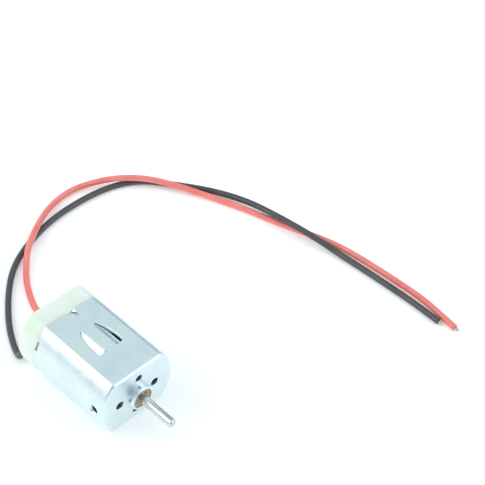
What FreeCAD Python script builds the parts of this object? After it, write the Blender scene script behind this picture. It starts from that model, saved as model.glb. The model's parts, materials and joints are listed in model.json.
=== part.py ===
"""Small brushed DC motor, the common 130 size, with a red and a black lead.

Millimetres. The shaft lies along the Y axis and points towards -Y. The origin is on
the shaft axis, in the flat front face of the can. +Z is up, and the can rests on its
lower flat. Every piece is a solid of its own, written to parts/NODE.step.
"""
import FreeCAD
import Part
import math
import os

Vector = FreeCAD.Vector

# ---- driving dimensions -----------------------------------------------------------
BODY_DIA = 20.1            # across the round sides, along X
BODY_FLAT = 15.1           # across the two flats, along Z
CORNER_RADIUS = 1.2        # between a flat and a round side
CAN_LENGTH = 21.8          # front face to rear rim
CAN_WALL = 0.8
FRONT_EDGE_RADIUS = 0.8
BODY_LENGTH = 26.8         # front face to the back of the end bell

BOSS_RADIUS = 3.05
BOSS_HEIGHT = 1.7
BOSS_EDGE_RADIUS = 0.45
BUSH_SINK = 0.15           # of the front bush, behind the front of the boss

FRONT_HOLE_OFFSET = 4.9    # two holes, left and right of the shaft
FRONT_HOLE_RADIUS = 1.0
VENT_OFFSET = 4.75         # two smaller holes, above and below the shaft
VENT_RADIUS = 0.85
VENT_ANGLE = 86.5          # of the upper one, from the horizontal
SIDE_HOLE_Y = 2.55
SIDE_HOLE_Z = 0.4
SIDE_HOLE_RADIUS = 0.95
SIDE_HOLE_MOUTH = 1.3      # radius of its countersink, at the surface
SIDE_HOLE_SINK = 0.45
HOLE_EDGE_RADIUS = 0.12    # on the outer edge of every hole in the can

SHAFT_RADIUS = 1.0
SHAFT_TIP = -10.9
RELIEF_RADIUS = 0.8        # of the groove at the root of the shaft's free end
RELIEF_START = -1.75
RELIEF_END = -1.05
SHAFT_REAR_END = 27.75
SHAFT_CHAMFER = 0.25
BUSH_CLEARANCE = 0.03      # radial running clearance on the shaft
FRONT_BUSH_RADIUS = 2.45
FRONT_BUSH_END = 1.3
BUSH_EDGE = 0.12
BUSH_MOUTH_RADIUS = 1.7
BUSH_MOUTH_DEPTH = 0.5
REAR_BUSH_RADIUS = 2.0
REAR_BUSH_START = 24.25

STACK_START = 5.5
STACK_LENGTH = 10.0
LAMINATION_COUNT = 20
LAMINATION_VARNISH = 0.02
ROTOR_RADIUS = 6.35
SHOE_THICKNESS = 0.9
SHOE_HALF_ANGLE = 50.0
ARM_WIDTH = 2.2
CORE_HUB_RADIUS = 2.2
INSULATOR_THICKNESS = 0.4
POLE_ANGLES = (90.0, 210.0, 330.0)

MAGNET_START = 4.4
MAGNET_LENGTH = 13.6
MAGNET_INNER_RADIUS = 6.75
MAGNET_HALF_ANGLE = 47.0
MAGNET_GLUE = 0.05

COMMUTATOR_START = 18.2
COMMUTATOR_END = 23.6
COMMUTATOR_RADIUS = 2.3

BELL_PLUG_START = 19.2
BELL_CAVITY_OFFSET = 2.0
BELL_REAR_WALL = 1.2
REAR_BOSS_RADIUS = 5.0
REAR_BOSS_HEIGHT = 1.8

NOTCH_HALF_WIDTH = 1.25    # in the rear rim of both flats
NOTCH_DEPTH = 1.95
CRIMP_ANGLE = 22.0         # of the four rim slots, from the horizontal
CRIMP_HALF_WIDTH = 1.15
CRIMP_DEPTH = 0.7
CRIMP_INNER = 8.45         # distance of a slot's floor from the shaft axis

TERMINAL_X = 7.2
TERMINAL_THICKNESS = 0.3
TERMINAL_WIDTH = 2.0
TERMINAL_END = 28.9
SOLDER_Y = 27.8

LEAD_DIAMETER = 1.5
CORE_DIAMETER = 0.7
TIP_CORE_LENGTH = 1.1

# ---- routes of the two free leads -------------------------------------------------
# Points of the centre lines, from the terminal to the cut end. A lead lies on the
# surface under the motor, and rises in a long low hump where it crosses the other.
BLACK_ROUTE = [
    (-7.8, 27.8, -1.8), (-8.0, 27.7, -3.1), (-8.45, 27.7, -4.6), (-8.65, 28.4, -6.2),
    (-8.0, 30.2, -6.8), (-6.8, 33.0, -6.8), (-4.1, 37.8, -6.8), (1.8, 45.2, -6.8),
    (8.0, 50.9, -6.8), (16.0, 54.7, -6.8), (25.0, 57.1, -6.8), (35.0, 57.5, -6.8),
    (43.8, 56.3, -6.8), (50.2, 53.0, -6.8), (54.6, 47.6, -6.8), (59.1, 41.6, -6.8),
    (62.3, 36.2, -6.8), (64.0, 30.3, -6.1), (64.3, 24.8, -5.0), (65.8, 16.3, -5.0),
    (67.3, 9.3, -5.8), (68.3, 3.4, -6.7), (69.0, -4.0, -6.8), (69.5, -12.0, -6.8),
    (69.8, -19.0, -6.8), (69.7, -26.0, -6.8),
]
RED_ROUTE = [
    (7.8, 27.8, -1.8), (7.8, 27.9, -3.4), (7.4, 28.4, -5.1), (6.2, 29.7, -6.4),
    (3.9, 32.6, -6.8), (3.0, 36.4, -6.8), (4.4, 40.3, -6.8), (7.4, 45.6, -6.8),
    (11.1, 49.9, -6.3), (13.4, 52.1, -5.0), (19.2, 56.0, -5.0), (26.7, 60.5, -6.6),
    (34.5, 61.9, -6.8), (40.7, 59.6, -6.1), (45.2, 56.1, -5.0), (50.2, 51.6, -5.0),
    (54.1, 46.0, -5.6), (57.6, 40.2, -6.5), (60.5, 33.8, -6.8), (63.0, 27.0, -6.8),
    (65.3, 19.5, -6.8), (68.4, 11.7, -6.8), (70.4, 5.0, -6.8), (71.3, -2.5, -6.8),
    (71.9, -10.5, -6.8), (72.3, -18.5, -6.8), (71.7, -24.5, -6.8), (71.0, -29.8, -6.8),
]
ARC_SHARE = 0.45           # of the shorter run beside each point

Y_AXIS = Vector(0, 1, 0)
ORIGIN = Vector(0, 0, 0)


# ---- basic shapes -----------------------------------------------------------------
def rod(radius, y_start, y_end, x=0.0, z=0.0):
    """A cylinder along Y."""
    return Part.makeCylinder(radius, y_end - y_start, Vector(x, y_start, z), Y_AXIS)


def ring(outer, inner, y_start, y_end):
    """A tube along Y, round the shaft axis."""
    return rod(outer, y_start, y_end).cut(rod(inner, y_start, y_end))


def box(x_range, y_range, z_range):
    """A box from three (low, high) pairs."""
    low = Vector(x_range[0], y_range[0], z_range[0])
    sizes = [high - start for start, high in (x_range, y_range, z_range)]
    return Part.makeBox(sizes[0], sizes[1], sizes[2], low)


def around(radius, degrees, y=0.0):
    """A point at an angle round the shaft, from +X towards +Z."""
    angle = math.radians(degrees)
    return Vector(radius * math.cos(angle), y, radius * math.sin(angle))


def turned(shape, degrees):
    """The shape turned round the shaft axis, from +X towards +Z."""
    copy = shape.copy()
    copy.rotate(ORIGIN, Y_AXIS, -degrees)
    return copy


def sector(outer, inner, half_angle, y_start, y_end):
    """A ring sector centred on +X."""
    corners = [around(outer, -half_angle, y_start), around(outer, half_angle, y_start)]
    feet = [around(inner, half_angle, y_start), around(inner, -half_angle, y_start)]
    edges = [
        Part.Arc(corners[0], around(outer, 0, y_start), corners[1]).toShape(),
        Part.makeLine(corners[1], feet[0]),
        Part.Arc(feet[0], around(inner, 0, y_start), feet[1]).toShape(),
        Part.makeLine(feet[1], corners[0]),
    ]
    return Part.Face(Part.Wire(edges)).extrude(Vector(0, y_end - y_start, 0))


def body_section(offset, y_start, y_end):
    """The motor's round-and-flat section, moved inwards by offset, along Y."""
    radius = BODY_DIA / 2 - offset
    flat = BODY_FLAT / 2 - offset
    corner = CORNER_RADIUS - min(offset, CORNER_RADIUS - 0.2)
    centre_z = flat - corner
    centre_x = math.sqrt((radius - corner) ** 2 - centre_z ** 2)
    slope = math.degrees(math.atan2(centre_z, centre_x))
    middle = math.radians((slope + 90) / 2)

    def corner_points(side_x, side_z):
        on_round = around(radius, slope)
        points = [
            Vector(on_round.x, 0, on_round.z),
            Vector(centre_x + corner * math.cos(middle), 0, centre_z + corner * math.sin(middle)),
            Vector(centre_x, 0, flat),
        ]
        return [Vector(p.x * side_x, y_start, p.z * side_z) for p in points]

    top_right = corner_points(1, 1)
    top_left = corner_points(-1, 1)
    low_left = corner_points(-1, -1)
    low_right = corner_points(1, -1)
    edges = [
        Part.Arc(*top_right).toShape(),
        Part.makeLine(top_right[2], top_left[2]),
        Part.Arc(*reversed(top_left)).toShape(),
        Part.Arc(top_left[0], Vector(-radius, y_start, 0), low_left[0]).toShape(),
        Part.Arc(*low_left).toShape(),
        Part.makeLine(low_left[2], low_right[2]),
        Part.Arc(*reversed(low_right)).toShape(),
        Part.Arc(low_right[0], Vector(radius, y_start, 0), top_right[0]).toShape(),
    ]
    return Part.Face(Part.Wire(edges)).extrude(Vector(0, y_end - y_start, 0))


def edges_at(shape, y):
    """The edges that lie in the plane at y."""
    tolerance = 1e-4
    found = []
    for edge in shape.Edges:
        low, high = edge.BoundBox.YMin, edge.BoundBox.YMax
        if abs(low - y) < tolerance and abs(high - y) < tolerance:
            found.append(edge)
    return found


def circles_at(shape, y, radius):
    """The full circles of that radius in the plane at y."""
    found = []
    for edge in edges_at(shape, y):
        if isinstance(edge.Curve, Part.Circle) and abs(edge.Curve.Radius - radius) < 1e-4:
            found.append(edge)
    return found


# ---- the can ----------------------------------------------------------------------
LOUVRE_HINGE_X = 1.4
LOUVRE_WIDTH = 2.0
LOUVRE_FRONT = 8.4
LOUVRE_BULGE = (1.9, 12.2)     # from the hinge, and along Y, halfway along the outer side
LOUVRE_TIP = (0.55, 16.0)
LOUVRE_HINGE_END = 15.0
LOUVRE_GAP = 0.1
TAB_SLOPES = (14.0, 42.0)      # at the hinge and at the free edge, from the flat
TAB_LENGTH = 2.05              # round its bend
TAB_THICKNESS = 0.6


def louvre_outline(gap):
    """The plan of one magnet stop, set in by a gap except along the hinge."""
    z = BODY_FLAT / 2 + 0.5
    hinge = LOUVRE_HINGE_X
    front = LOUVRE_FRONT + gap
    outer = Vector(hinge + LOUVRE_WIDTH - gap, front, z)
    middle = Vector(hinge + LOUVRE_BULGE[0] - gap, LOUVRE_BULGE[1], z)
    tip = Vector(hinge + LOUVRE_TIP[0] - gap, LOUVRE_TIP[1] - gap, z)
    back = Vector(hinge, LOUVRE_HINGE_END - gap, z)
    start = Vector(hinge, front, z)
    edges = [
        Part.makeLine(start, outer),
        Part.Arc(outer, middle, tip).toShape(),
        Part.makeLine(tip, back),
        Part.makeLine(back, start),
    ]
    return Part.Face(Part.Wire(edges)).extrude(Vector(0, 0, -3.0))


def louvre_window():
    """The opening of the right-hand magnet stop in the upper flat."""
    skin = box((0.0, BODY_DIA / 2), (LOUVRE_FRONT - 1, LOUVRE_TIP[1] + 1),
               (BODY_FLAT / 2 - CAN_WALL - 0.2, BODY_FLAT / 2 + 1.0))
    return louvre_outline(0.0).common(skin)


def louvre_rims(shell):
    """The upper edges of both openings, apart from the hinges."""
    top = BODY_FLAT / 2
    found = []
    for edge in shell.Edges:
        reach = edge.BoundBox
        on_top = abs(reach.ZMin - top) < 1e-4 and abs(reach.ZMax - top) < 1e-4
        along = LOUVRE_FRONT - 0.1 < reach.YMin and reach.YMax < LOUVRE_TIP[1] + 0.1
        outermost = max(abs(reach.XMin), abs(reach.XMax))
        if on_top and along and LOUVRE_HINGE_X + 0.1 < outermost < LOUVRE_HINGE_X + LOUVRE_WIDTH + 0.1:
            found.append(edge)
    return found


def louvre_tab():
    """The tab rolled in from that opening, hinged along its inner side."""
    first, last = [math.radians(slope) for slope in TAB_SLOPES]
    middle = (first + last) / 2
    bend = TAB_LENGTH / (last - first)
    hinge_z = BODY_FLAT / 2
    centre_x = LOUVRE_HINGE_X - bend * math.sin(first)
    centre_z = hinge_z - bend * math.cos(first)

    def at(radius, slope):
        return Vector(centre_x + radius * math.sin(slope), LOUVRE_FRONT,
                      centre_z + radius * math.cos(slope))

    inner = bend - TAB_THICKNESS
    root = Vector(LOUVRE_HINGE_X - 0.3, LOUVRE_FRONT, at(inner, first).z)
    top = Vector(LOUVRE_HINGE_X - 0.3, LOUVRE_FRONT, hinge_z)
    edges = [
        Part.Arc(at(bend, first), at(bend, middle), at(bend, last)).toShape(),
        Part.makeLine(at(bend, last), at(inner, last)),
        Part.Arc(at(inner, last), at(inner, middle), at(inner, first)).toShape(),
        Part.makeLine(at(inner, first), root),
        Part.makeLine(root, top),
        Part.makeLine(top, at(bend, first)),
    ]
    strip = Part.Face(Part.Wire(edges)).extrude(Vector(0, LOUVRE_TIP[1] - LOUVRE_FRONT, 0))
    hinge_side = box((0.0, LOUVRE_HINGE_X), (LOUVRE_FRONT, LOUVRE_HINGE_END - 0.5),
                     (0.0, BODY_FLAT / 2))
    return strip.common(louvre_outline(LOUVRE_GAP).fuse(hinge_side))


def rim_slot(degrees):
    """One crimp slot in the rear rim of a round side."""
    slot = box((CRIMP_INNER, BODY_DIA / 2 + 1.0),
               (CAN_LENGTH - CRIMP_DEPTH, CAN_LENGTH + 1.0),
               (-CRIMP_HALF_WIDTH, CRIMP_HALF_WIDTH))
    return turned(slot, degrees)


def crimp_angles():
    """The four slots, two on each round side."""
    return [CRIMP_ANGLE, 180 - CRIMP_ANGLE, 180 + CRIMP_ANGLE, -CRIMP_ANGLE]


def rim_notch(side):
    """The notch in the rear rim of the upper or the lower flat."""
    top = BODY_FLAT / 2
    z_range = sorted((side * (top - CAN_WALL - 0.4), side * (top + 1.0)))
    return box((-NOTCH_HALF_WIDTH, NOTCH_HALF_WIDTH),
               (CAN_LENGTH - NOTCH_DEPTH, CAN_LENGTH + 1.0), z_range)


EAR_LENGTH = 0.9
EAR_REACH = 0.95
EAR_THICKNESS = 0.25
EAR_TILT = 28.0            # how far its tip is pushed down


def crimp_ear(side):
    """A small three-cornered ear of the can, bent over the key in the notch."""
    top = BODY_FLAT / 2
    root = NOTCH_HALF_WIDTH
    corner = Vector(root, CAN_LENGTH, top)
    points = [Vector(root, CAN_LENGTH - EAR_LENGTH, top), corner,
              Vector(root - EAR_REACH, CAN_LENGTH, top)]
    ear = Part.Face(Part.makePolygon(points + points[:1])).extrude(Vector(0, 0, -EAR_THICKNESS))
    ear.rotate(corner, Y_AXIS, -EAR_TILT)
    return turned(ear, 0 if side > 0 else 180)


def side_hole():
    """The left-hand countersunk hole, near the front of a round side."""
    surface = -BODY_DIA / 2
    inwards = Vector(1, 0, 0)
    hole = Part.makeCylinder(SIDE_HOLE_RADIUS, 4, Vector(surface - 1, SIDE_HOLE_Y, SIDE_HOLE_Z), inwards)
    start = Vector(surface - SIDE_HOLE_SINK, SIDE_HOLE_Y, SIDE_HOLE_Z)
    widest = 2 * SIDE_HOLE_MOUTH - SIDE_HOLE_RADIUS
    return hole.fuse(Part.makeCone(widest, SIDE_HOLE_RADIUS, 2 * SIDE_HOLE_SINK, start, inwards))


def on_both_sides(shape):
    """The shape and its mirror image across the shaft."""
    return [shape, shape.mirror(ORIGIN, Vector(1, 0, 0))]


def make_can():
    shell = body_section(0.0, 0.0, CAN_LENGTH)
    shell = shell.makeFillet(FRONT_EDGE_RADIUS, edges_at(shell, 0.0))
    shell = shell.cut(body_section(CAN_WALL, CAN_WALL, CAN_LENGTH + 1.0))
    boss = rod(BOSS_RADIUS, -BOSS_HEIGHT, CAN_WALL / 2)
    boss = boss.makeFillet(BOSS_EDGE_RADIUS, edges_at(boss, -BOSS_HEIGHT))
    shell = shell.fuse(boss)
    shell = shell.cut(rod(FRONT_BUSH_RADIUS, -BOSS_HEIGHT - 1.0, CAN_WALL + 1.0))
    for side in (-1, 1):
        vent = around(VENT_OFFSET, side * 90 + VENT_ANGLE - 90)
        shell = shell.cut(rod(FRONT_HOLE_RADIUS, -1.0, 2.0, x=side * FRONT_HOLE_OFFSET))
        shell = shell.cut(rod(VENT_RADIUS, -1.0, 2.0, vent.x, vent.z))
    mouths = circles_at(shell, 0.0, FRONT_HOLE_RADIUS) + circles_at(shell, 0.0, VENT_RADIUS)
    shell = shell.makeFillet(HOLE_EDGE_RADIUS, mouths)
    for side in (-1, 1):
        shell = shell.cut(rim_notch(side))
    for degrees in crimp_angles():
        shell = shell.cut(rim_slot(degrees))
    for opening in on_both_sides(louvre_window()):
        shell = shell.cut(opening)
    shell = shell.makeFillet(HOLE_EDGE_RADIUS, louvre_rims(shell))
    for opening in on_both_sides(side_hole()):
        shell = shell.cut(opening)
    for tab in on_both_sides(louvre_tab()):
        shell = shell.fuse(tab)
    for side in (-1, 1):
        shell = shell.fuse(crimp_ear(side))
    return shell.removeSplitter()


def make_front_bush():
    front = -BOSS_HEIGHT + BUSH_SINK
    bore = SHAFT_RADIUS + BUSH_CLEARANCE
    bush = rod(FRONT_BUSH_RADIUS, front, FRONT_BUSH_END)
    bush = bush.makeChamfer(BUSH_EDGE, edges_at(bush, front))
    mouth = Part.makeCone(BUSH_MOUTH_RADIUS, bore, BUSH_MOUTH_DEPTH, Vector(0, front, 0), Y_AXIS)
    return bush.cut(mouth).cut(rod(bore, front - 1, FRONT_BUSH_END + 1))


# ---- magnets and their clip -------------------------------------------------------
def make_magnet(side):
    outer = BODY_DIA / 2 - CAN_WALL - MAGNET_GLUE
    end = MAGNET_START + MAGNET_LENGTH
    arc = sector(outer, MAGNET_INNER_RADIUS, MAGNET_HALF_ANGLE, MAGNET_START, end)
    arc = arc.common(body_section(CAN_WALL + MAGNET_GLUE, MAGNET_START, end))
    return turned(arc, 0 if side > 0 else 180)


CLIP_HALF_WIDTH = 5.0
CLIP_Z = -6.15
CLIP_FRONT, CLIP_BACK = 6.0, 17.6
CLIP_BEND = 2.0
CLIP_WIRE_RADIUS = 0.45


def make_magnet_clip():
    """A wire U that pushes the lower edges of the magnets apart."""
    corner_y = CLIP_BACK - CLIP_BEND
    corner_x = CLIP_HALF_WIDTH - CLIP_BEND
    slant = CLIP_BEND * math.sqrt(0.5)
    left = [Vector(-CLIP_HALF_WIDTH, y, CLIP_Z) for y in (CLIP_FRONT, corner_y)]
    right = [Vector(CLIP_HALF_WIDTH, y, CLIP_Z) for y in (corner_y, CLIP_FRONT)]
    cross = [Vector(x, CLIP_BACK, CLIP_Z) for x in (-corner_x, corner_x)]
    left_middle = Vector(-corner_x - slant, corner_y + slant, CLIP_Z)
    right_middle = Vector(corner_x + slant, corner_y + slant, CLIP_Z)
    path = Part.Wire([
        Part.makeLine(left[0], left[1]),
        Part.Arc(left[1], left_middle, cross[0]).toShape(),
        Part.makeLine(cross[0], cross[1]),
        Part.Arc(cross[1], right_middle, right[0]).toShape(),
        Part.makeLine(right[0], right[1]),
    ])
    section = Part.Wire(Part.makeCircle(CLIP_WIRE_RADIUS, left[0], Y_AXIS))
    return path.makePipeShell([section], True, False)


# ---- rotor ------------------------------------------------------------------------
def three_pole_plate(y_start, y_end, outer, shoe, hub, arm):
    """A three-pole plate: a hub on the shaft, three arms and three pole shoes."""
    plate = rod(hub, y_start, y_end)
    arm_bar = box((0.0, outer - shoe / 2), (y_start, y_end), (-arm / 2, arm / 2))
    shoe_arc = sector(outer, outer - shoe, SHOE_HALF_ANGLE, y_start, y_end)
    for degrees in POLE_ANGLES:
        plate = plate.fuse(turned(arm_bar, degrees))
        plate = plate.fuse(turned(shoe_arc, degrees))
    return plate.cut(rod(SHAFT_RADIUS, y_start - 1, y_end + 1)).removeSplitter()


def make_laminations():
    """The laminated core, one solid for each sheet."""
    pitch = STACK_LENGTH / LAMINATION_COUNT
    sheet = three_pole_plate(STACK_START, STACK_START + pitch - LAMINATION_VARNISH,
                             ROTOR_RADIUS, SHOE_THICKNESS, CORE_HUB_RADIUS, ARM_WIDTH)
    sheets = []
    for index in range(LAMINATION_COUNT):
        copy = sheet.copy()
        copy.translate(Vector(0, index * pitch, 0))
        sheets.append(copy)
    return Part.makeCompound(sheets)


def make_insulator(y_start):
    """An end plate of fibre, a little smaller than the steel sheets."""
    return three_pole_plate(y_start, y_start + INSULATOR_THICKNESS, ROTOR_RADIUS - 0.15,
                            SHOE_THICKNESS - 0.3, CORE_HUB_RADIUS + 0.1, ARM_WIDTH - 0.1)


COIL_GAP = 0.06            # to the arm and the end plates
COIL_SIDE_BUILD = 1.35     # of wire beside the arm
COIL_END_BUILD = 1.45      # of wire over the end plates
COIL_CORNER_RADIUS = 1.1


def make_coil(degrees):
    """The winding on one arm, a closed loop that fills its slots."""
    inner = (STACK_START - INSULATOR_THICKNESS - COIL_GAP,
             STACK_START + STACK_LENGTH + INSULATOR_THICKNESS + COIL_GAP)
    outer = (inner[0] - COIL_END_BUILD, inner[1] + COIL_END_BUILD)
    radial = (CORE_HUB_RADIUS + 0.35, ROTOR_RADIUS - SHOE_THICKNESS - 0.1)
    half = ARM_WIDTH / 2 + COIL_GAP
    loop = box(radial, outer, (-half - COIL_SIDE_BUILD, half + COIL_SIDE_BUILD))
    corners = [edge for edge in loop.Edges if edge.BoundBox.XLength > 1.0]
    loop = loop.makeFillet(COIL_CORNER_RADIUS, corners)
    loop = loop.cut(box((0.0, ROTOR_RADIUS), inner, (-half, half)))
    loop = loop.common(rod(radial[1], outer[0] - 1, outer[1] + 1))
    return turned(loop, degrees)


def make_shaft():
    shaft = rod(SHAFT_RADIUS, SHAFT_TIP, SHAFT_REAR_END)
    shaft = shaft.cut(ring(SHAFT_RADIUS + 1, RELIEF_RADIUS, RELIEF_START, RELIEF_END))
    ends = edges_at(shaft, SHAFT_TIP) + edges_at(shaft, SHAFT_REAR_END)
    return shaft.makeChamfer(SHAFT_CHAMFER, ends)


SEGMENT_THICKNESS = 0.4
SEGMENT_HALF_ANGLE = 56.0
SEGMENT_END_GAP = 0.5      # from the segments' end to the hub's
HUB_FLANGE_RADIUS = 3.0
HUB_FLANGE_THICKNESS = 0.6
RISER_REACH = 4.0
RISER_THICKNESS = 0.3
RISER_HALF_WIDTH = 0.7
RETAINER_THICKNESS = 0.45
RETAINER_WIDTH = 0.7


def make_commutator_hub():
    """The moulded hub, with a flange towards the windings."""
    hub = rod(COMMUTATOR_RADIUS - SEGMENT_THICKNESS, COMMUTATOR_START, COMMUTATOR_END)
    flange = rod(HUB_FLANGE_RADIUS, COMMUTATOR_START, COMMUTATOR_START + HUB_FLANGE_THICKNESS)
    hub = hub.fuse(flange)
    return hub.cut(rod(SHAFT_RADIUS, COMMUTATOR_START - 1, COMMUTATOR_END + 1)).removeSplitter()


def make_commutator_segment(degrees):
    """One copper segment, with the riser that its coil end is joined to."""
    start = COMMUTATOR_START + HUB_FLANGE_THICKNESS
    inner = COMMUTATOR_RADIUS - SEGMENT_THICKNESS
    end = COMMUTATOR_END - SEGMENT_END_GAP
    segment = sector(COMMUTATOR_RADIUS, inner, SEGMENT_HALF_ANGLE, start, end)
    riser = box((inner + 0.1, RISER_REACH), (start, start + RISER_THICKNESS),
                (-RISER_HALF_WIDTH, RISER_HALF_WIDTH))
    return turned(segment.fuse(riser).removeSplitter(), degrees)


def make_commutator_ring():
    """The retaining ring pushed over the segments."""
    start = COMMUTATOR_START + HUB_FLANGE_THICKNESS + RISER_THICKNESS + 0.1
    return ring(COMMUTATOR_RADIUS + RETAINER_THICKNESS, COMMUTATOR_RADIUS,
                start, start + RETAINER_WIDTH)


# ---- end bell ---------------------------------------------------------------------
BELL_PLUG_GAP = 0.04       # between the plug and the inside of the can
BELL_EDGE_RADIUS = 0.35
REAR_BOSS_EDGE_RADIUS = 0.4
REAR_BOSS_HOLE_RADIUS = 1.35
REAR_BOSS_END_WALL = 0.6
BUSH_SLEEVE_WALL = 1.2
KEY_SINK = 0.7             # of the key's face below the flat
KEY_GAP = 0.05


def bell_key(side):
    """The key that fills the notch in the can's rear rim."""
    top = BODY_FLAT / 2
    inner = top - CAN_WALL - 0.3
    outer = top - KEY_SINK
    z_range = sorted((side * inner, side * outer))
    return box((-NOTCH_HALF_WIDTH + KEY_GAP, NOTCH_HALF_WIDTH - KEY_GAP),
               (CAN_LENGTH - NOTCH_DEPTH + KEY_GAP, CAN_LENGTH + 0.5), z_range)


def terminal_slot(side):
    """The slot in the rear wall that a terminal passes through."""
    x = side * TERMINAL_X
    half = TERMINAL_THICKNESS / 2 + 0.02
    return box((x - half, x + half), (BODY_LENGTH - BELL_REAR_WALL - 0.5, BODY_LENGTH + 1.0),
               (-TERMINAL_WIDTH / 2 - 0.02, TERMINAL_WIDTH / 2 + 0.02))


def make_end_bell():
    rear_wall = BODY_LENGTH - BELL_REAR_WALL
    boss_end = BODY_LENGTH + REAR_BOSS_HEIGHT
    bell = body_section(0.0, CAN_LENGTH, BODY_LENGTH)
    bell = bell.makeFillet(BELL_EDGE_RADIUS, edges_at(bell, BODY_LENGTH))
    bell = bell.fuse(body_section(CAN_WALL + BELL_PLUG_GAP, BELL_PLUG_START, CAN_LENGTH))
    boss = rod(REAR_BOSS_RADIUS, BODY_LENGTH - 0.5, boss_end)
    boss = boss.makeFillet(REAR_BOSS_EDGE_RADIUS, edges_at(boss, boss_end))
    bell = bell.fuse(boss)
    bell = bell.cut(body_section(BELL_CAVITY_OFFSET, BELL_PLUG_START - 1, rear_wall))
    bell = bell.fuse(rod(REAR_BUSH_RADIUS + BUSH_SLEEVE_WALL, REAR_BUSH_START, rear_wall + 0.2))
    bell = bell.cut(rod(REAR_BUSH_RADIUS, REAR_BUSH_START - 1, boss_end - REAR_BOSS_END_WALL))
    bell = bell.cut(rod(REAR_BOSS_HOLE_RADIUS, boss_end - 1, boss_end + 1))
    for side in (-1, 1):
        bell = bell.fuse(bell_key(side))
        bell = bell.cut(terminal_slot(side))
    for degrees in crimp_angles():
        pocket = box((CRIMP_INNER, BODY_DIA / 2 + 1.0),
                     (CAN_LENGTH - CRIMP_DEPTH, CAN_LENGTH),
                     (-CRIMP_HALF_WIDTH, CRIMP_HALF_WIDTH))
        bell = bell.cut(turned(pocket, degrees))
    return bell.removeSplitter()


def make_rear_bush():
    return ring(REAR_BUSH_RADIUS, SHAFT_RADIUS + BUSH_CLEARANCE,
                REAR_BUSH_START, BODY_LENGTH + REAR_BOSS_HEIGHT - REAR_BOSS_END_WALL)


# ---- terminals, brushes and solder ------------------------------------------------
TERMINAL_INNER_END = 21.0
TERMINAL_FOOT_LENGTH = 2.2
TERMINAL_FOOT_REACH = 2.6
TERMINAL_CORNER_RADIUS = 0.6
EYELET_RADIUS = 0.4
BRUSH_Y = (21.2, 22.8)
BRUSH_SLIT_Y = (21.9, 22.1)
BRUSH_LEAF = 0.15
BRUSH_REACH = 1.6          # past the middle of the commutator
BRUSH_Z = COMMUTATOR_RADIUS + 0.03
NEAR_CORE_X = 7.8
NEAR_CORE_START = -1.8
NEAR_CORE_LENGTH = 2.3
BEAD_X = 7.5
BEAD_RADIUS = 0.85


def make_terminal(side):
    """A brass tab out of the back of the bell, with a foot for its brush inside."""
    x = side * TERMINAL_X
    half = TERMINAL_THICKNESS / 2
    x_range = (x - half, x + half)
    tab = box(x_range, (TERMINAL_INNER_END, TERMINAL_END),
              (-TERMINAL_WIDTH / 2, TERMINAL_WIDTH / 2))
    rounded = [edge for edge in edges_at(tab, TERMINAL_END) if edge.BoundBox.ZLength < 0.01]
    tab = tab.makeFillet(TERMINAL_CORNER_RADIUS, rounded)
    foot_z = sorted((0.0, side * TERMINAL_FOOT_REACH))
    foot = box(x_range, (TERMINAL_INNER_END, TERMINAL_INNER_END + TERMINAL_FOOT_LENGTH), foot_z)
    eyelet = Part.makeCylinder(EYELET_RADIUS, 2, Vector(x - 1, SOLDER_Y, 0), Vector(1, 0, 0))
    return tab.fuse(foot).cut(eyelet).removeSplitter()


def make_brush(side):
    """A thin leaf from its terminal across one side of the commutator."""
    start = side * (TERMINAL_X - TERMINAL_THICKNESS / 2)
    end = -side * BRUSH_REACH
    z = side * BRUSH_Z
    top = z + side * BRUSH_LEAF
    leaf = box(sorted((start, end)), BRUSH_Y, sorted((z, top)))
    foot = box(sorted((start, start - side * BRUSH_LEAF)), BRUSH_Y, sorted((side * 1.2, top)))
    slit = box(sorted((-side * 2.0, side * 2.2)), BRUSH_SLIT_Y, sorted((z - side, z + side)))
    return leaf.fuse(foot).cut(slit).removeSplitter()


def near_core(side):
    """The bare strands from the lead's end up past the eyelet."""
    foot = Vector(side * NEAR_CORE_X, SOLDER_Y, NEAR_CORE_START)
    return Part.makeCylinder(CORE_DIAMETER / 2, NEAR_CORE_LENGTH, foot, Vector(0, 0, 1))


def make_solder(side):
    """The bead that joins the strands to the tab, through the eyelet."""
    bead = Part.makeSphere(BEAD_RADIUS, Vector(side * BEAD_X, SOLDER_Y, 0.0))
    return bead.cut(make_terminal(side)).cut(near_core(side)).removeSplitter()


# ---- leads ------------------------------------------------------------------------
def lead_path(route):
    """Straight runs joined by tangent arcs, and the radius of each arc."""
    points = [Vector(*point) for point in route]
    edges = []
    radii = []
    start = points[0]
    for before, point, after in zip(points, points[1:], points[2:]):
        back = (before - point).normalize()
        ahead = (after - point).normalize()
        reach = ARC_SHARE * min((before - point).Length, (after - point).Length)
        half_turn = (math.pi - back.getAngle(ahead)) / 2
        radius = reach / math.tan(half_turn)
        first = point + back * reach
        last = point + ahead * reach
        inward = (back + ahead).normalize()
        middle = point + inward * (radius / math.cos(half_turn) - radius)
        edges.append(Part.makeLine(start, first))
        edges.append(Part.Arc(first, middle, last).toShape())
        radii.append(radius)
        start = last
    edges.append(Part.makeLine(start, points[-1]))
    return Part.Wire(edges), radii


def make_lead(name, route):
    """A lead's insulation, as one solid tube along its route."""
    path, radii = lead_path(route)
    first, second = Vector(*route[0]), Vector(*route[1])
    section = Part.Wire(Part.makeCircle(LEAD_DIAMETER / 2, first, second - first))
    tube = path.makePipeShell([section], True, False)
    area = math.pi * LEAD_DIAMETER ** 2 / 4
    ratio = tube.Volume / (area * path.Length)
    print(name, "length", round(path.Length, 1), "volume ratio", round(ratio, 4))
    print(name, "radii", [round(radius, 1) for radius in radii])
    return tube


def tip_core(route):
    """The bare strands that show at the cut end."""
    end, before = Vector(*route[-1]), Vector(*route[-2])
    return Part.makeCylinder(CORE_DIAMETER / 2, TIP_CORE_LENGTH, end, end - before)


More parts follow.
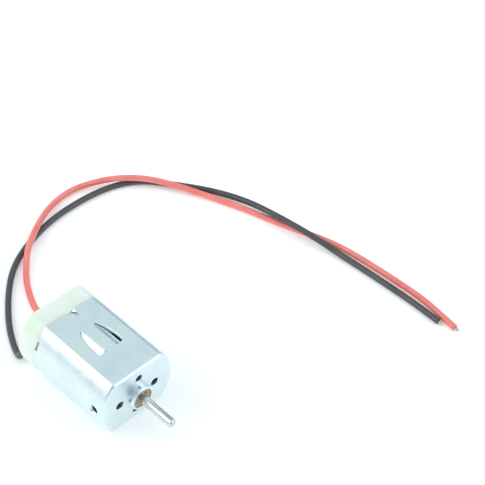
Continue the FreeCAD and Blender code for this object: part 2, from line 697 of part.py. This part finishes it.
# ---- all the pieces ---------------------------------------------------------------
COLLAR_RADIUS = 1.8
COLLAR_START = 1.95
COLLAR_GAP = 0.02          # to the piece beside it on the shaft
WASHER_BORE_GAP = 0.05
FRONT_WASHER = (1.9, 1.6, 1.9)      # outer radius, start and end along Y
REAR_WASHER = (1.8, 23.65, 23.95)


def thrust_washer(outer, start, end):
    return ring(outer, SHAFT_RADIUS + WASHER_BORE_GAP, start, end)


def make_pieces():
    stack_end = STACK_START + STACK_LENGTH
    collar_end = STACK_START - INSULATOR_THICKNESS - COLLAR_GAP
    spacer_start = stack_end + INSULATOR_THICKNESS + COLLAR_GAP
    spacer_end = COMMUTATOR_START - COLLAR_GAP
    pieces = {
        "can": make_can(),
        "front_bush": make_front_bush(),
        "magnet_left": make_magnet(-1),
        "magnet_right": make_magnet(1),
        "magnet_clip": make_magnet_clip(),
        "end_bell": make_end_bell(),
        "rear_bush": make_rear_bush(),
        "terminal_left": make_terminal(-1),
        "terminal_right": make_terminal(1),
        "brush_left": make_brush(-1),
        "brush_right": make_brush(1),
        "solder_left": make_solder(-1),
        "solder_right": make_solder(1),
        "shaft": make_shaft(),
        "laminations": make_laminations(),
        "insulator_front": make_insulator(STACK_START - INSULATOR_THICKNESS),
        "insulator_rear": make_insulator(stack_end),
        "shaft_collar": ring(COLLAR_RADIUS, SHAFT_RADIUS, COLLAR_START, collar_end),
        "rear_spacer": ring(COLLAR_RADIUS, SHAFT_RADIUS, spacer_start, spacer_end),
        "commutator_hub": make_commutator_hub(),
        "commutator_ring": make_commutator_ring(),
        "thrust_washer_front": thrust_washer(*FRONT_WASHER),
        "thrust_washer_rear": thrust_washer(*REAR_WASHER),
        "black_lead": make_lead("black", BLACK_ROUTE),
        "black_core_near": near_core(-1),
        "black_core_tip": tip_core(BLACK_ROUTE),
        "red_lead": make_lead("red", RED_ROUTE),
        "red_core_near": near_core(1),
        "red_core_tip": tip_core(RED_ROUTE),
    }
    for letter, degrees in zip("abc", POLE_ANGLES):
        pieces["coil_" + letter] = make_coil(degrees)
        pieces["commutator_segment_" + letter] = make_commutator_segment(degrees + 60)
    return pieces


os.makedirs("parts", exist_ok=True)
for node, shape in make_pieces().items():
    if not shape.isValid():
        print("not valid:", node)
    shape.exportStep("parts/" + node + ".step")
    print(node, len(shape.Solids), "solids", round(shape.Volume, 2), "mm3")
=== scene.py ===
"""The looks of a small brushed DC motor with a red and a black lead.

Metres, in the frame of the CAD model: the shaft lies along Y and points towards -Y, and the
origin is on the shaft axis, in the flat front face of the can. +Z is up.
"""
import json
import math

import bmesh
import bpy
from mathutils import Matrix, Vector, noise


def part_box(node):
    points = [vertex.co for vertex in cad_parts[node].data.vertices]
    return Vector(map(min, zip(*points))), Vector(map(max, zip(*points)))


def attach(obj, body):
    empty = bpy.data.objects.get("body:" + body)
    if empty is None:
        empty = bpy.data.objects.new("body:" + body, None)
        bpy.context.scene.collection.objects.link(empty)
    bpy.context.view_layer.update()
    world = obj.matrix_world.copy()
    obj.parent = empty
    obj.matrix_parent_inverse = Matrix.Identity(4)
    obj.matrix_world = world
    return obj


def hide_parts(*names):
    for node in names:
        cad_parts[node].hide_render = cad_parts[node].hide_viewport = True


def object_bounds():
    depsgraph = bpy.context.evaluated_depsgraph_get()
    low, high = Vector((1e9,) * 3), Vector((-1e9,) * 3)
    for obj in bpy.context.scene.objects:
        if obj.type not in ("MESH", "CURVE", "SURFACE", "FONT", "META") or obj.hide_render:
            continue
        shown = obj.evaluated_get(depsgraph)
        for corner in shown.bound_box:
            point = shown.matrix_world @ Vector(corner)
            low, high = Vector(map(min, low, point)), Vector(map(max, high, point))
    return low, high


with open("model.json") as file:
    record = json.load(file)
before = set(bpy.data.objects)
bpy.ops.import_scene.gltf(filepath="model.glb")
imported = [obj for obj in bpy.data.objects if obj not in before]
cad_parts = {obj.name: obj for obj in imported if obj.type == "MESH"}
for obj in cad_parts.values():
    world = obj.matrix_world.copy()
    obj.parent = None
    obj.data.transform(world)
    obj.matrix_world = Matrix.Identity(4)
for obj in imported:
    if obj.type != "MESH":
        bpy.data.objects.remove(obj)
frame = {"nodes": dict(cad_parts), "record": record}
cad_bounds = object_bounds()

MM = 0.001
scene = bpy.context.scene
scene.view_settings.view_transform = "Standard"

# ---- camera -----------------------------------------------------------------------
CAMERA_AZIMUTH = math.radians(-49.13)      # 0 looks along +Y
CAMERA_ELEVATION = math.radians(44.92)
CAMERA_ROLL = math.radians(5.784)
CAMERA_DISTANCE = 336.3 * MM
CAMERA_RIGHT, CAMERA_UP = 22.08 * MM, 31.77 * MM   # of the origin, across the picture
IMAGE_SIZE = 485
FOCAL_PIXELS = 1600
SENSOR = 36.0


def make_camera():
    back = Vector((math.sin(CAMERA_AZIMUTH) * math.cos(CAMERA_ELEVATION),
                   -math.cos(CAMERA_AZIMUTH) * math.cos(CAMERA_ELEVATION),
                   math.sin(CAMERA_ELEVATION)))
    level = Vector((math.cos(CAMERA_AZIMUTH), math.sin(CAMERA_AZIMUTH), 0))
    rise = back.cross(level)
    right = level * math.cos(CAMERA_ROLL) + rise * math.sin(CAMERA_ROLL)
    up = back.cross(right)
    place = back * CAMERA_DISTANCE + right * CAMERA_RIGHT + up * CAMERA_UP
    data = bpy.data.cameras.new("camera")
    data.sensor_width = SENSOR
    data.lens = FOCAL_PIXELS / IMAGE_SIZE * SENSOR
    data.clip_start = 0.01
    camera = bpy.data.objects.new("camera", data)
    turn = Matrix((right, up, back)).transposed()
    camera.matrix_world = Matrix.Translation(place) @ turn.to_4x4()
    scene.collection.objects.link(camera)
    scene.camera = camera


make_camera()

# ---- cords ------------------------------------------------------------------------
LEAD_DIAMETER = 1.5 * MM
LEAD_STEP = 0.25 * MM       # between the rings of its mesh
BLACK_ROUTE = [
    (-7.8, 27.8, -1.8), (-8.0, 27.7, -3.1), (-8.45, 27.7, -4.6), (-8.65, 28.4, -6.2),
    (-8.0, 30.2, -6.8), (-6.8, 33.0, -6.8), (-4.1, 37.8, -6.8), (1.8, 45.2, -6.8),
    (8.0, 50.9, -6.8), (16.0, 54.7, -6.8), (25.0, 57.1, -6.8), (35.0, 57.5, -6.8),
    (43.8, 56.3, -6.8), (50.2, 53.0, -6.8), (54.6, 47.6, -6.8), (59.1, 41.6, -6.8),
    (62.3, 36.2, -6.8), (64.0, 30.3, -6.1), (64.3, 24.8, -5.0), (65.8, 16.3, -5.0),
    (67.3, 9.3, -5.8), (68.3, 3.4, -6.7), (69.0, -4.0, -6.8), (69.5, -12.0, -6.8),
    (69.8, -19.0, -6.8), (69.7, -26.0, -6.8),
]
RED_ROUTE = [
    (7.8, 27.8, -1.8), (7.8, 27.9, -3.4), (7.4, 28.4, -5.1), (6.2, 29.7, -6.4),
    (3.9, 32.6, -6.8), (3.0, 36.4, -6.8), (4.4, 40.3, -6.8), (7.4, 45.6, -6.8),
    (11.1, 49.9, -6.3), (13.4, 52.1, -5.0), (19.2, 56.0, -5.0), (26.7, 60.5, -6.6),
    (34.5, 61.9, -6.8), (40.7, 59.6, -6.1), (45.2, 56.1, -5.0), (50.2, 51.6, -5.0),
    (54.1, 46.0, -5.6), (57.6, 40.2, -6.5), (60.5, 33.8, -6.8), (63.0, 27.0, -6.8),
    (65.3, 19.5, -6.8), (68.4, 11.7, -6.8), (70.4, 5.0, -6.8), (71.3, -2.5, -6.8),
    (71.9, -10.5, -6.8), (72.3, -18.5, -6.8), (71.7, -24.5, -6.8), (71.0, -29.8, -6.8),
]
STRAND_RADIUS = 0.115 * MM
STRAND_TURNS_PER_METRE = 260
STRAND_STEPS = 14
STRAND_CUT = 0.05           # how much shorter one strand in three is than the next
MIDDLE_STRAND_LENGTH = 0.97
NEAR_STRANDS_LENGTH = 2.3 * MM
TIP_STRANDS_LENGTH = 1.1 * MM
TIP_SPLAY = 0.25            # how far the strands open at a cut end
LEAD_SIDES = 32
LEAD_CUT = 0.03 * LEAD_DIAMETER     # rounding of the insulation's cut ends


def metres(point):
    return Vector(point) * MM


def link(name, data):
    piece = bpy.data.objects.new(name, data)
    scene.collection.objects.link(piece)
    return piece


def smooth_line(route):
    """Points close together on the smooth curve through the middles of a route's runs."""
    corners = [metres(point) for point in route]
    middles = [(low + high) / 2 for low, high in zip(corners, corners[1:])]
    middles[0], middles[-1] = corners[0], corners[-1]
    line = []
    for start, corner, end in zip(middles, corners[1:], middles[1:]):
        steps = max(6, math.ceil(((corner - start).length + (end - corner).length) / LEAD_STEP))
        for step in range(steps):
            t = step / steps
            line.append(start * (1 - t) ** 2 + corner * 2 * t * (1 - t) + end * t ** 2)
    line.append(corners[-1])
    return line


def swept(mesh, centres, radius, sides=10, end_size=0.6):
    """Adds a round tube along a list of points to a bmesh, narrower at its two ends."""
    rings = []
    across = None
    for index, centre in enumerate(centres):
        before = centres[max(index - 1, 0)]
        after = centres[min(index + 1, len(centres) - 1)]
        ahead = (after - before).normalized()
        across = ahead.orthogonal() if across is None else across - ahead * across.dot(ahead)
        across.normalize()
        other = ahead.cross(across)
        size = radius * (end_size if index in (0, len(centres) - 1) else 1.0)
        angles = [math.tau * side / sides for side in range(sides)]
        rings.append([mesh.verts.new(centre + (across * math.cos(a) + other * math.sin(a)) * size)
                      for a in angles])
    for low, high in zip(rings, rings[1:]):
        for side in range(sides):
            nearby = (side + 1) % sides
            mesh.faces.new((low[side], low[nearby], high[nearby], high[side]))
    mesh.faces.new(list(reversed(rings[0])))
    mesh.faces.new(rings[-1])


def as_piece(name, mesh):
    """A smooth-shaded object made from a bmesh."""
    bmesh.ops.recalc_face_normals(mesh, faces=mesh.faces)
    data = bpy.data.meshes.new(name)
    mesh.to_mesh(data)
    mesh.free()
    data.polygons.foreach_set("use_smooth", [True] * len(data.polygons))
    return link(name, data)


def make_strands(name, start, ahead, length, splay):
    """Seven twisted wire strands, one in the middle, which open a little towards their end."""
    across = ahead.orthogonal().normalized()
    other = ahead.cross(across)
    mesh = bmesh.new()
    for strand in range(7):
        centres = []
        for step in range(STRAND_STEPS + 1):
            share = step / STRAND_STEPS
            along = length * share
            if strand == 0:
                centres.append(start + ahead * along * MIDDLE_STRAND_LENGTH)
                continue
            angle = math.tau * (strand / 6 + along * STRAND_TURNS_PER_METRE)
            reach = 2 * STRAND_RADIUS * (1 + splay * share ** 2)
            cut = 1 - STRAND_CUT * (strand % 3)
            side = across * math.cos(angle) + other * math.sin(angle)
            centres.append(start + side * reach + ahead * along * cut)
        swept(mesh, centres, STRAND_RADIUS)
    return as_piece(name, mesh)


def make_lead(name, line):
    """The insulation of a lead, a round tube along its line with cleanly cut ends."""
    first, last = line[1] - line[0], line[-1] - line[-2]
    line = [line[0], line[0] + first.normalized() * LEAD_CUT, *line[1:-1],
            line[-1] - last.normalized() * LEAD_CUT, line[-1]]
    mesh = bmesh.new()
    swept(mesh, line, LEAD_DIAMETER / 2, LEAD_SIDES, end_size=0.95)
    return as_piece(name, mesh)


def make_cord(colour, route):
    """A lead and the strands at its two ends."""
    line = smooth_line(route)
    lead = make_lead(colour + "_insulation", line)
    near = make_strands(colour + "_strands_near", metres(route[0]), Vector((0, 0, 1)),
                        NEAR_STRANDS_LENGTH, 0.0)
    ahead = (metres(route[-1]) - metres(route[-2])).normalized()
    tip = make_strands(colour + "_strands_tip", metres(route[-1]), ahead, TIP_STRANDS_LENGTH,
                       TIP_SPLAY)
    for strands, node in ((near, "_core_near"), (tip, "_core_tip")):
        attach(strands, "housing")
        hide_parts(colour + node)
    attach(lead, "housing")
    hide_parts(colour + "_lead")
    return lead, [near, tip]


black_lead, black_strands = make_cord("black", BLACK_ROUTE)
red_lead, red_strands = make_cord("red", RED_ROUTE)


# ---- materials --------------------------------------------------------------------
class Look:
    """A node material for one finish. Its textures follow the object, in metres."""

    def __init__(self, name, **settings):
        self.material = bpy.data.materials.new(name)
        self.material.use_nodes = True
        self.tree = self.material.node_tree
        self.shader = self.tree.nodes["Principled BSDF"]
        self.place = self.tree.nodes.new("ShaderNodeTexCoord").outputs["Object"]
        for socket, value in settings.items():
            self.shader.inputs[socket.replace("_", " ")].default_value = value

    def stretched(self, scale):
        mapping = self.tree.nodes.new("ShaderNodeMapping")
        mapping.inputs["Scale"].default_value = scale
        self.tree.links.new(self.place, mapping.inputs["Vector"])
        return mapping.outputs["Vector"]

    def noise(self, per_metre, detail=3.0, stretch=(1, 1, 1), rough=0.5):
        node = self.tree.nodes.new("ShaderNodeTexNoise")
        node.inputs["Scale"].default_value = 1.0
        node.inputs["Detail"].default_value = detail
        node.inputs["Roughness"].default_value = rough
        scale = [per_metre * part for part in stretch]
        self.tree.links.new(self.stretched(scale), node.inputs["Vector"])
        return node.outputs["Fac"]

    def voronoi(self, per_metre, stretch=(1, 1, 1)):
        node = self.tree.nodes.new("ShaderNodeTexVoronoi")
        node.inputs["Scale"].default_value = 1.0
        scale = [per_metre * part for part in stretch]
        self.tree.links.new(self.stretched(scale), node.inputs["Vector"])
        return node.outputs["Distance"]

    def ramp(self, factor, *stops):
        """Colours, or greys, at places from 0 to 1."""
        node = self.tree.nodes.new("ShaderNodeValToRGB")
        line = node.color_ramp
        while len(line.elements) < len(stops):
            line.elements.new(0.5)
        for element, (place, colour) in zip(line.elements, stops):
            element.position = place
            grey = not hasattr(colour, "__len__")
            element.color = (colour, colour, colour, 1.0) if grey else (*colour, 1.0)
        self.tree.links.new(factor, node.inputs["Fac"])
        return node.outputs["Color"]

    def mixed(self, factor, first, second, how="MIX"):
        node = self.tree.nodes.new("ShaderNodeMix")
        node.data_type = "RGBA"
        node.blend_type = how
        for socket, value in (("Factor", factor), ("A", first), ("B", second)):
            slot = [s for s in node.inputs if s.name == socket and s.enabled][0]
            if isinstance(value, bpy.types.NodeSocket):
                self.tree.links.new(value, slot)
            else:
                slot.default_value = (*value, 1.0) if hasattr(value, "__len__") else value
        return [s for s in node.outputs if s.enabled][0]

    def spread(self, factor, low, high, start=0.3, end=0.7):
        """The factor's usual range, taken to low and high."""
        node = self.tree.nodes.new("ShaderNodeMapRange")
        for socket, value in (("From Min", start), ("From Max", end),
                              ("To Min", low), ("To Max", high)):
            node.inputs[socket].default_value = value
        self.tree.links.new(factor, node.inputs["Value"])
        return node.outputs["Result"]

    def colour(self, output):
        self.tree.links.new(output, self.shader.inputs["Base Color"])

    def roughness(self, output):
        self.tree.links.new(output, self.shader.inputs["Roughness"])

    def bump(self, height, depth, strength=1.0):
        """Relief of that depth in metres, on top of any relief already there."""
        node = self.tree.nodes.new("ShaderNodeBump")
        node.inputs["Strength"].default_value = strength
        node.inputs["Distance"].default_value = depth
        self.tree.links.new(height, node.inputs["Height"])
        target = self.shader.inputs["Normal"]
        if target.links:
            self.tree.links.new(target.links[0].from_socket, node.inputs["Normal"])
        self.tree.links.new(node.outputs["Normal"], target)


def plated_steel():
    look = Look("plated_steel", Metallic=1.0)
    cloud = look.noise(150, 4)
    tint = look.ramp(cloud, (0.30, (0.73, 0.84, 0.89)), (0.52, (0.79, 0.89, 0.91)),
                     (0.72, (0.84, 0.91, 0.89)))
    speckle = look.ramp(look.noise(2400, 2), (0.30, 0.93), (0.60, 1.0))
    look.colour(look.mixed(1.0, tint, speckle, "MULTIPLY"))
    look.roughness(look.spread(look.noise(500, 5), 0.34, 0.46))
    look.bump(look.noise(380, 3), 0.012 * MM, 0.5)
    look.bump(look.noise(4600, 3, (1, 0.12, 1)), 0.0015 * MM, 0.6)
    return look.material


def ground_steel():
    look = Look("ground_steel", Metallic=1.0)
    lines = look.noise(5200, 4, (1, 0.05, 1))
    bands = look.ramp(look.noise(1100, 2, (0.05, 1, 0.05)), (0.35, 0.84), (0.6, 1.0))
    steel = look.ramp(lines, (0.30, (0.52, 0.53, 0.51)), (0.65, (0.80, 0.80, 0.77)))
    look.colour(look.mixed(1.0, steel, bands, "MULTIPLY"))
    look.roughness(look.spread(look.noise(1500, 3, (1, 0.2, 1)), 0.20, 0.36))
    look.bump(lines, 0.004 * MM, 0.6)
    return look.material


def sheet_steel():
    look = Look("silicon_steel", Metallic=1.0)
    look.colour(look.ramp(look.noise(900, 3), (0.35, (0.30, 0.31, 0.33)),
                          (0.7, (0.48, 0.48, 0.50))))
    look.roughness(look.spread(look.noise(2500, 3), 0.35, 0.55))
    look.bump(look.noise(4200, 2), 0.004 * MM, 0.6)
    return look.material


def spring_steel():
    look = Look("spring_steel", Metallic=1.0)
    look.colour(look.ramp(look.noise(1400, 3), (0.3, (0.38, 0.39, 0.42)),
                          (0.7, (0.55, 0.56, 0.58))))
    look.roughness(look.spread(look.noise(1800, 2), 0.25, 0.4))
    look.bump(look.noise(6000, 2, (1, 0.1, 1)), 0.003 * MM, 0.5)
    return look.material


def sintered_bronze():
    look = Look("bronze_bush", Metallic=0.9)
    look.colour(look.ramp(look.noise(4800, 4), (0.32, (0.20, 0.17, 0.13)),
                          (0.55, (0.44, 0.38, 0.30)), (0.75, (0.55, 0.48, 0.38))))
    look.roughness(look.spread(look.noise(3000, 2), 0.30, 0.55))
    look.bump(look.voronoi(5200), 0.010 * MM, 0.5)
    return look.material


def stamped_copper_alloy(name, dark, bright, scale=900):
    """Brass, bronze or copper, as sheet or wire."""
    look = Look(name, Metallic=1.0)
    look.colour(look.ramp(look.noise(scale, 4), (0.3, dark), (0.7, bright)))
    look.roughness(look.spread(look.noise(2400, 3), 0.22, 0.42))
    look.bump(look.noise(5000, 3, (1, 0.2, 1)), 0.004 * MM, 0.6)
    return look.material


def ferrite():
    look = Look("ferrite", Metallic=0.0)
    look.colour(look.ramp(look.noise(1900, 5), (0.3, (0.035, 0.036, 0.040)),
                          (0.7, (0.085, 0.086, 0.092))))
    look.roughness(look.spread(look.noise(2600, 3), 0.5, 0.75))
    look.bump(look.noise(3500, 4), 0.015 * MM, 0.7)
    return look.material


def nylon(name, dark, bright, depth=2.0):
    """Unpigmented nylon: milky, soft light inside, with faint moulding flow."""
    look = Look(name, Subsurface_Weight=0.55, Subsurface_Scale=depth * MM, IOR=1.53)
    look.shader.inputs["Subsurface Radius"].default_value = (1.0, 1.0, 0.75)
    flow = look.noise(260, 4, (1, 0.5, 1))
    look.colour(look.ramp(flow, (0.3, dark), (0.7, bright)))
    look.roughness(look.spread(look.noise(1500, 4), 0.28, 0.48))
    look.bump(look.noise(3800, 3), 0.006 * MM, 0.6)
    return look.material


def pressed_fibre():
    look = Look("insulation_fibre")
    look.colour(look.ramp(look.noise(1600, 5, (1, 0.3, 1)), (0.3, (0.36, 0.09, 0.05)),
                          (0.7, (0.55, 0.17, 0.10))))
    look.roughness(look.spread(look.noise(2600, 3), 0.5, 0.75))
    look.bump(look.noise(5200, 4, (1, 0.25, 1)), 0.010 * MM, 0.6)
    return look.material


def phenolic():
    look = Look("moulded_phenolic")
    look.colour(look.ramp(look.noise(1800, 4), (0.3, (0.10, 0.055, 0.040)),
                          (0.7, (0.19, 0.11, 0.08))))
    look.roughness(look.spread(look.noise(2600, 3), 0.35, 0.55))
    look.bump(look.noise(4200, 3), 0.006 * MM, 0.5)
    return look.material


def solder():
    look = Look("solder", Metallic=1.0)
    look.colour(look.ramp(look.noise(1600, 4), (0.3, (0.60, 0.61, 0.63)),
                          (0.7, (0.82, 0.83, 0.84))))
    look.roughness(look.spread(look.noise(1200, 3), 0.14, 0.34))
    look.bump(look.noise(2400, 3), 0.012 * MM, 0.5)
    return look.material


def tinned_copper():
    look = Look("tinned_copper", Metallic=1.0)
    look.colour(look.ramp(look.noise(2600, 3), (0.35, (0.62, 0.50, 0.40)),
                          (0.6, (0.78, 0.76, 0.74))))
    look.roughness(look.spread(look.noise(3000, 2), 0.2, 0.38))
    look.bump(look.noise(7000, 2), 0.003 * MM, 0.5)
    return look.material


def pvc(name, dark, bright):
    """Soft insulation: slight colour drift, a waxy sheen, and fine marks of the extruder."""
    look = Look(name, IOR=1.50, Coat_Weight=0.25, Coat_Roughness=0.22)
    look.colour(look.ramp(look.noise(210, 4), (0.32, dark), (0.68, bright)))
    look.roughness(look.spread(look.noise(900, 4), 0.28, 0.46))
    look.bump(look.noise(700, 3), 0.020 * MM, 0.6)
    look.bump(look.noise(4800, 3), 0.005 * MM, 0.6)
    return look.material


MATERIALS = {
    "plated_steel": plated_steel(),
    "bronze_bush": sintered_bronze(),
    "ferrite": ferrite(),
    "spring_steel": spring_steel(),
    "natural_nylon": nylon("natural_nylon", (0.80, 0.91, 0.72), (0.93, 0.97, 0.90)),
    "brass_terminal": stamped_copper_alloy("brass_terminal", (0.62, 0.48, 0.22),
                                           (0.86, 0.72, 0.40)),
    "phosphor_bronze": stamped_copper_alloy("phosphor_bronze", (0.55, 0.34, 0.20),
                                            (0.78, 0.54, 0.36)),
    "solder": solder(),
    "ground_steel": ground_steel(),
    "silicon_steel": sheet_steel(),
    "insulation_fibre": pressed_fibre(),
    "moulded_phenolic": phenolic(),
    "washer_nylon": nylon("washer_nylon", (0.82, 0.82, 0.80), (0.92, 0.92, 0.90), 0.5),
    "black_pvc": pvc("black_pvc", (0.048, 0.046, 0.050), (0.082, 0.077, 0.082)),
    "red_pvc": pvc("red_pvc", (0.96, 0.200, 0.175), (1.0, 0.280, 0.250)),
    "tinned_copper": tinned_copper(),
    "enamelled_copper": stamped_copper_alloy("enamelled_copper", (0.42, 0.14, 0.05),
                                             (0.66, 0.28, 0.12), 1600),
    "copper": stamped_copper_alloy("copper", (0.70, 0.36, 0.22), (0.88, 0.54, 0.38), 1400),
}


def give(piece, slot):
    """The piece's only material is the one of that slot."""
    piece.data.materials.clear()
    piece.data.materials.append(MATERIALS[slot])


def dress_cad_nodes():
    for part in frame["record"]["subparts"]:
        give(frame["nodes"][part["node"]], part["material_slot"])


dress_cad_nodes()
give(black_lead, "black_pvc")
give(red_lead, "red_pvc")
for piece in black_strands + red_strands:
    give(piece, "tinned_copper")


# ---- solder beads -----------------------------------------------------------------
BEAD_FILL = 0.93            # of the CAD bead's box
BEAD_LUMPS = 0.07
BEAD_LUMPS_PER_RADIUS = 2.1
BEAD_SEED_PER_METRE = 900   # makes the two beads differ
WETTING_REACH = 0.45 * MM   # of the solder on each side of the tab
WETTING_Y, WETTING_Z = 0.08, 0.10


def make_bead(side):
    """A lumpy bead of solder that wets the tab and runs a little way down the strands."""
    node = "solder_" + side
    low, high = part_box(node)
    centre = (low + high) / 2
    half = (high - low) / 2
    tab_low, tab_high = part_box("terminal_" + side)
    tab_x = (tab_low.x + tab_high.x) / 2
    mesh = bmesh.new()
    bmesh.ops.create_icosphere(mesh, subdivisions=5, radius=1.0)
    for vert in mesh.verts:
        way = vert.co.copy()
        lump = 1 + BEAD_LUMPS * noise.noise(way * BEAD_LUMPS_PER_RADIUS
                                            + centre * BEAD_SEED_PER_METRE)
        place = centre + Vector(part * size for part, size in zip(way * lump * BEAD_FILL, half))
        near_tab = max(0.0, 1 - abs(place.x - tab_x) / WETTING_REACH)
        place.y = centre.y + (place.y - centre.y) * (1 + WETTING_Y * near_tab)
        place.z = centre.z + (place.z - centre.z) * (1 + WETTING_Z * near_tab)
        vert.co = place
    bead = as_piece("bead_" + side, mesh)
    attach(bead, "housing")
    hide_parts(node)
    give(bead, "solder")


for side in ("left", "right"):
    make_bead(side)

# ---- floor, light -----------------------------------------------------------------
FLOOR_SIZE = 6.0
FLOOR_HEIGHT = cad_bounds[0][2]
FLOOR_GLOW = 0.26
motor_low, motor_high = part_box("can")
MOTOR_CENTRE = (motor_low + motor_high) / 2


def make_floor():
    mesh = bmesh.new()
    bmesh.ops.create_grid(mesh, x_segments=1, y_segments=1, size=FLOOR_SIZE / 2)
    floor = as_piece("floor", mesh)
    floor.location.z = FLOOR_HEIGHT
    look = Look("pale_floor", Roughness=0.9)
    look.colour(look.ramp(look.noise(3, 2), (0.3, (0.90, 0.91, 0.91)), (0.7, (0.92, 0.92, 0.92))))
    look.shader.inputs["Emission Color"].default_value = (1, 1, 1, 1)
    look.shader.inputs["Emission Strength"].default_value = FLOOR_GLOW
    floor.data.materials.append(look.material)


# The studio's colour, from below to above.
SKY_COLOURS = ((0.0, (0.36, 0.42, 0.54)), (0.22, (0.50, 0.59, 0.70)), (0.7, (0.69, 0.83, 0.86)),
               (1.0, (0.95, 1.0, 1.0)))
# Darker parts of the studio: the direction, how much is left of the light, and the cosines of the
# angles from it where the dark part ends and where it is full.
DARK_PARTS = (((-0.52, -0.50, 0.69), 0.35, 0.86, 0.96),
              ((0.88, 0.46, -0.02), 0.15, 0.87, 0.96),
              ((-0.88, 0.47, 0.02), 0.18, 0.90, 0.97),
              ((-0.03, 0.46, 0.89), 0.62, 0.95, 0.985))


def make_world():
    world = bpy.data.worlds.new("studio")
    world.use_nodes = True
    tree = world.node_tree
    sky = tree.nodes["Background"]
    place = tree.nodes.new("ShaderNodeTexCoord").outputs["Generated"]
    split = tree.nodes.new("ShaderNodeSeparateXYZ")
    ramp = tree.nodes.new("ShaderNodeValToRGB")
    tree.links.new(place, split.inputs["Vector"])
    tree.links.new(split.outputs["Z"], ramp.inputs["Fac"])
    tree.links.new(ramp.outputs["Color"], sky.inputs["Color"])
    line = ramp.color_ramp
    while len(line.elements) < len(SKY_COLOURS):
        line.elements.new(0.5)
    for element, (height, colour) in zip(line.elements, SKY_COLOURS):
        element.position = height
        element.color = (*colour, 1.0)
    strength = None
    for direction, left, edge, full in DARK_PARTS:
        dot = tree.nodes.new("ShaderNodeVectorMath")
        dot.operation = "DOT_PRODUCT"
        dot.inputs[1].default_value = Vector(direction).normalized()
        tree.links.new(place, dot.inputs[0])
        fade = tree.nodes.new("ShaderNodeMapRange")
        fade.interpolation_type = "SMOOTHSTEP"
        for socket, value in (("From Min", edge), ("From Max", full),
                              ("To Min", 1.0), ("To Max", left)):
            fade.inputs[socket].default_value = value
        tree.links.new(dot.outputs["Value"], fade.inputs["Value"])
        if strength is None:
            strength = fade.outputs["Result"]
            continue
        product = tree.nodes.new("ShaderNodeMath")
        product.operation = "MULTIPLY"
        tree.links.new(strength, product.inputs[0])
        tree.links.new(fade.outputs["Result"], product.inputs[1])
        strength = product.outputs["Value"]
    tree.links.new(strength, sky.inputs["Strength"])
    scene.world = world


def softbox(name, toward, distance, size, radiance):
    """A large soft light that faces the motor, in the direction given."""
    data = bpy.data.lights.new(name, "AREA")
    data.shape = "RECTANGLE"
    data.size, data.size_y = size
    data.energy = radiance * math.pi * size[0] * size[1]
    light = bpy.data.objects.new(name, data)
    way = Vector(toward).normalized()
    light.matrix_world = (Matrix.Translation(MOTOR_CENTRE + way * distance)
                          @ way.to_track_quat("Z", "Y").to_matrix().to_4x4())
    light.visible_camera = False
    scene.collection.objects.link(light)


make_floor()
make_world()
softbox("key", toward=(-0.76, 0.46, 0.46), distance=0.7, size=(0.66, 0.31), radiance=2.0)
softbox("fill", toward=(0.53, -0.70, 0.47), distance=0.7, size=(0.40, 0.30), radiance=2.5)
softbox("overhead", toward=(-0.40, 0.46, 0.79), distance=0.8, size=(0.34, 0.30), radiance=2.4)

# ---- final update -----------------------------------------------------------------
bpy.context.view_layer.update()
